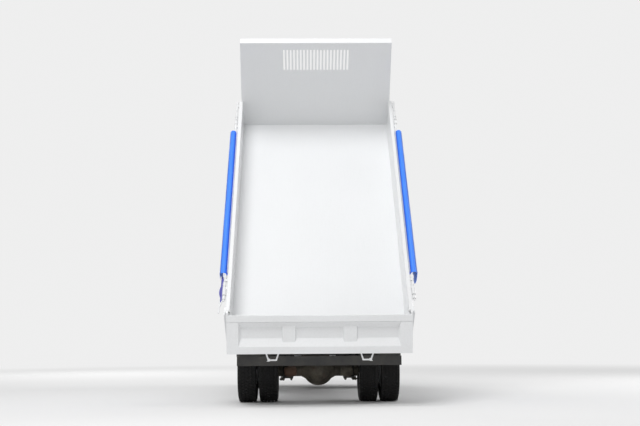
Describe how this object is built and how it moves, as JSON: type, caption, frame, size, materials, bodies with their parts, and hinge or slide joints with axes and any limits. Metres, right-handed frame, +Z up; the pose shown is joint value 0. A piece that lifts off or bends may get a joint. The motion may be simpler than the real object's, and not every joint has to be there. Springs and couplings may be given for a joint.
{
  "type": "dump truck",
  "caption": "Cab-over dump truck with its bed raised on a hydraulic hoist, tailgate hanging from top pins, folded side covers and twin rear wheels.",
  "frame": {"origin": "middle of the truck's overall footprint at rest, on the ground", "axes": "+X to the truck's right, +Y to its front, +Z up"},
  "size_m": [2.496, 6.5158, 5.1343],
  "materials": {
    "white_paint": "smooth gloss white enamel",
    "frame_paint": "satin near-black chassis paint",
    "axle_paint": "dusty dark axle casting",
    "wheel_paint": "silver-grey wheel paint",
    "tyre": "ribbed matt black tyre",
    "cover_cloth": "bright blue woven sheet, folded",
    "glass": "clear cab glass",
    "black_plastic": "grained black plastic",
    "grey_plastic": "grained grey cabin plastic",
    "seat_cloth": "woven dark grey seat cloth",
    "rod_chrome": "polished hard chrome",
    "tank_metal": "brushed tank metal",
    "red_lens": "moulded red lens",
    "clear_lens": "moulded clear lens"
  },
  "bodies": {
    "chassis": {"frame_rail_right": "frame_paint", "frame_rail_left": "frame_paint", "crossmembers": "frame_paint", "subframe": "frame_paint", "hinge_brackets": "frame_paint", "hoist_base": "frame_paint", "front_axle": "axle_paint", "front_springs": "frame_paint", "rear_axle": "axle_paint", "rear_springs": "frame_paint", "engine": "axle_paint", "propshaft": "axle_paint", "fuel_tank": "frame_paint", "battery_box": "frame_paint", "air_tanks": "frame_paint", "silencer": "tank_metal", "side_guards": "white_paint", "rear_fenders": "frame_paint", "rear_guard": "frame_paint", "tail_lamps": "red_lens", "front_bumper": "white_paint", "headlamps": "clear_lens", "tilt_pins": "frame_paint", "cab_steps": "frame_paint"},
    "knuckle_right": {"knuckle_right": "axle_paint"},
    "knuckle_left": {"knuckle_left": "axle_paint"},
    "wheel_front_right": {"tyre_front_right": "tyre", "rim_front_right": "wheel_paint"},
    "wheel_front_left": {"tyre_front_left": "tyre", "rim_front_left": "wheel_paint"},
    "wheel_rear_right": {"tyres_rear_right": "tyre", "rims_rear_right": "wheel_paint"},
    "wheel_rear_left": {"tyres_rear_left": "tyre", "rims_rear_left": "wheel_paint"},
    "bed": {"bed_floor": "white_paint", "bed_sills": "white_paint", "bed_underframe": "white_paint", "bed_side_right": "white_paint", "bed_side_left": "white_paint", "bed_front_wall": "white_paint", "side_cover_right": "cover_cloth", "side_cover_left": "cover_cloth", "cover_gear_right": "white_paint", "cover_gear_left": "white_paint", "gate_claws": "white_paint"},
    "tailgate": {"tailgate": "white_paint"},
    "hoist_barrel": {"hoist_barrel": "frame_paint"},
    "hoist_rod": {"hoist_rod": "rod_chrome"},
    "cab": {"cab_shell": "white_paint", "windscreen": "glass", "rear_glass": "glass", "dashboard": "grey_plastic", "steering_wheel": "black_plastic", "seats": "seat_cloth", "mirrors": "black_plastic"},
    "door_right": {"door_right": "white_paint", "door_glass_right": "glass"},
    "door_left": {"door_left": "white_paint", "door_glass_left": "glass"}
  },
  "joints": [
    {"name": "bed_tilt", "type": "hinge", "parent": "chassis", "child": "bed", "pos_m": [0, -2.42209, 0.975], "axis": [1, 0, 0], "range_deg": [-53, 0]},
    {"name": "gate_swing", "type": "hinge", "parent": "bed", "child": "tailgate", "pos_m": [0, -3.16387, 1.16209], "axis": [-1, 0, 0], "range_deg": [-41.4, 45]},
    {"name": "hoist_barrel_tilt", "type": "hinge", "parent": "chassis", "child": "hoist_barrel", "pos_m": [0, -1.17209, 0.74], "axis": [1, 0, 0], "range_deg": [-70.9, 0]},
    {"name": "hoist_rod_slide", "type": "slide", "parent": "hoist_barrel", "child": "hoist_rod", "axis": [0, 0.1485, 0.9889], "range_m": [-0.96047, 0]},
    {"name": "cab_tilt", "type": "hinge", "parent": "chassis", "child": "cab", "pos_m": [0, 3.13791, 0.6], "axis": [-1, 0, 0], "range_deg": [0, 45]},
    {"name": "door_right_swing", "type": "hinge", "parent": "cab", "child": "door_right", "pos_m": [1.061, 2.98791, 1.125], "axis": [0, 0, 1], "range_deg": [0, 70]},
    {"name": "door_left_swing", "type": "hinge", "parent": "cab", "child": "door_left", "pos_m": [-1.061, 2.98791, 1.125], "axis": [0, 0, -1], "range_deg": [0, 70]},
    {"name": "steer_left", "type": "hinge", "parent": "chassis", "child": "knuckle_left", "pos_m": [-0.8, 2.07791, 0.42], "axis": [0, 0, 1], "range_deg": [-35, 35]},
    {"name": "steer_right", "type": "hinge", "parent": "chassis", "child": "knuckle_right", "pos_m": [0.8, 2.07791, 0.42], "axis": [0, 0, 1], "range_deg": [-35, 35]},
    {"name": "wheel_front_right_spin", "type": "hinge", "parent": "knuckle_right", "child": "wheel_front_right", "pos_m": [0.93, 2.07791, 0.42], "axis": [1, 0, 0], "continuous": true},
    {"name": "wheel_rear_right_spin", "type": "hinge", "parent": "chassis", "child": "wheel_rear_right", "pos_m": [0.805, -1.72209, 0.42], "axis": [1, 0, 0], "continuous": true},
    {"name": "wheel_front_left_spin", "type": "hinge", "parent": "knuckle_left", "child": "wheel_front_left", "pos_m": [-0.93, 2.07791, 0.42], "axis": [1, 0, 0], "continuous": true},
    {"name": "wheel_rear_left_spin", "type": "hinge", "parent": "chassis", "child": "wheel_rear_left", "pos_m": [-0.805, -1.72209, 0.42], "axis": [1, 0, 0], "continuous": true}
  ],
  "couplings": [
    {"joint": "hoist_barrel_tilt", "follows": "bed_tilt", "ratio": 1.3375},
    {"joint": "hoist_rod_slide", "follows": "bed_tilt", "m_per_rad": 1.0378},
    {"joint": "steer_right", "follows": "steer_left", "ratio": 1}
  ]
}
